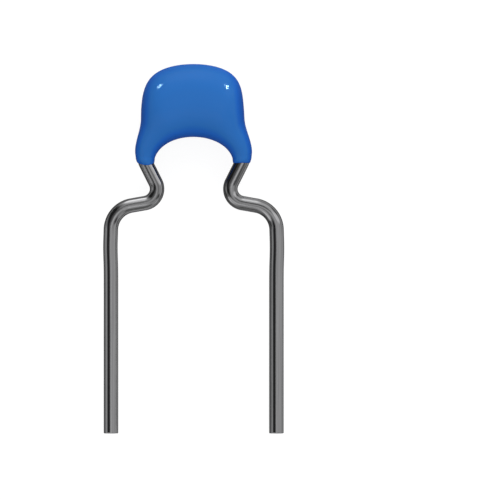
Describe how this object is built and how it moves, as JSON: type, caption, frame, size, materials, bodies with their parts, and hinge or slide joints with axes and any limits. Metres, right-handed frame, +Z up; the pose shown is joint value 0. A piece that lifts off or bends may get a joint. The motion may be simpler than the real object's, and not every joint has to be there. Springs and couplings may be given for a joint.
{
  "type": "multilayer ceramic capacitor",
  "caption": "Radial-lead multilayer ceramic capacitor: a stacked-electrode chip with two kinked wires, dipped in glossy blue epoxy, for soldering into a circuit board.",
  "frame": {"origin": "middle of the bottom of the part's box, on the surface that it lies on", "axes": "+X across the two wires, +Y from the wire tips to the epoxy's top, +Z up, out of the front face; the wires' plane slopes 3.9 degrees down to the tips"},
  "size_m": [0.0056, 0.0114, 0.0019],
  "materials": {
    "epoxy": "gloss",
    "wire": "satin",
    "ceramic": "matte",
    "electrode": "satin",
    "copper": "satin",
    "nickel": "satin",
    "tin": "satin",
    "solder": "gloss"
  },
  "bodies": {
    "root": {"coating": "epoxy", "dielectric": "ceramic", "lead_left": "wire", "lead_right": "wire", "solder_left": "solder", "solder_right": "solder", "termination_left": "copper", "termination_right": "copper", "nickel_barrier_left": "nickel", "nickel_barrier_right": "nickel", "tin_finish_left": "tin", "tin_finish_right": "tin", "electrode_left_01": "electrode", "electrode_left_02": "electrode", "electrode_left_03": "electrode", "electrode_left_04": "electrode", "electrode_left_05": "electrode", "electrode_left_06": "electrode", "electrode_left_07": "electrode", "electrode_left_08": "electrode", "electrode_left_09": "electrode", "electrode_left_10": "electrode", "electrode_right_01": "electrode", "electrode_right_02": "electrode", "electrode_right_03": "electrode", "electrode_right_04": "electrode", "electrode_right_05": "electrode", "electrode_right_06": "electrode", "electrode_right_07": "electrode", "electrode_right_08": "electrode", "electrode_right_09": "electrode", "electrode_right_10": "electrode"}
  },
  "joints": []
}
